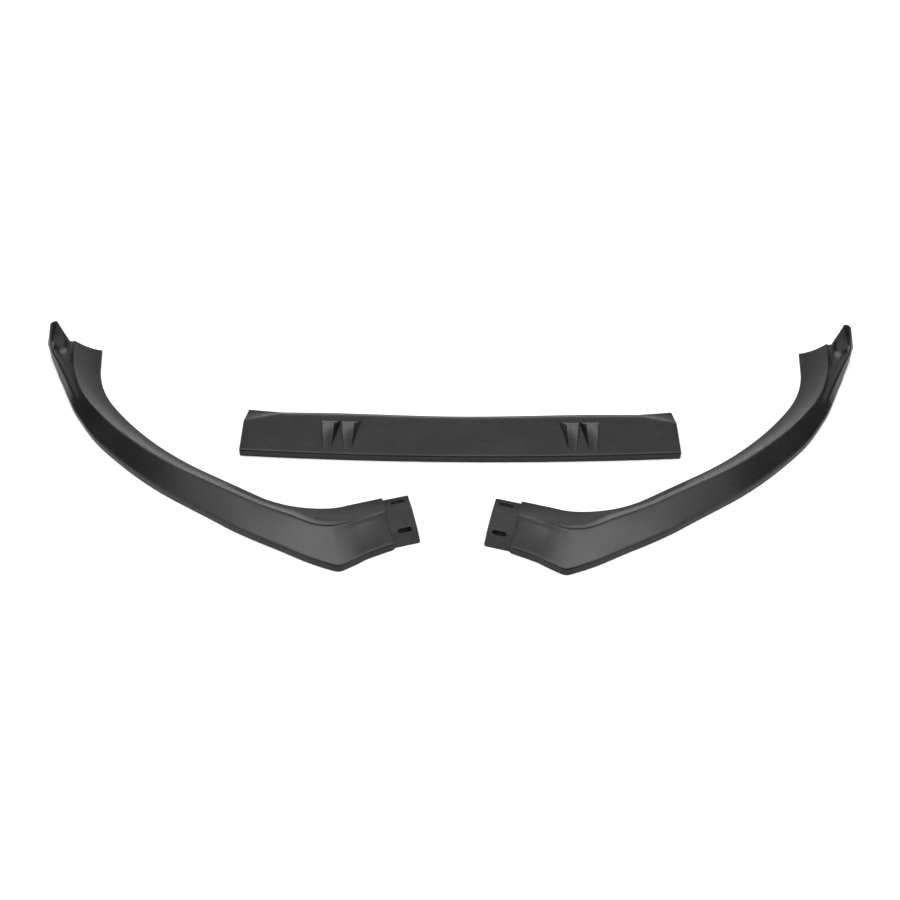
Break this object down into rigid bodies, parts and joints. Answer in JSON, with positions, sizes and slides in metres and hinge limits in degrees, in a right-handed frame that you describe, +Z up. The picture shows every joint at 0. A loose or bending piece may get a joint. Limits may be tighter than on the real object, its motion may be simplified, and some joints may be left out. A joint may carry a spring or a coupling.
{
  "type": "front splitter lip",
  "caption": "Black car front splitter lip laid out in sections: curved sides with wheel-arch fins and slotted joining tongues, and a bowed centre blade with wedge ribs.",
  "frame": {"origin": "centre of the set's outline in plan, on the surface that it lies on", "axes": "+X along the set to the viewer's right, -Y towards the front of the car, +Z up"},
  "size_m": [1.403, 0.5324, 0.074],
  "materials": {
    "black_plastic": "satin moulded black"
  },
  "bodies": {
    "root": {"left_side_section": "black_plastic", "right_side_section": "black_plastic", "centre_section": "black_plastic"}
  },
  "joints": []
}
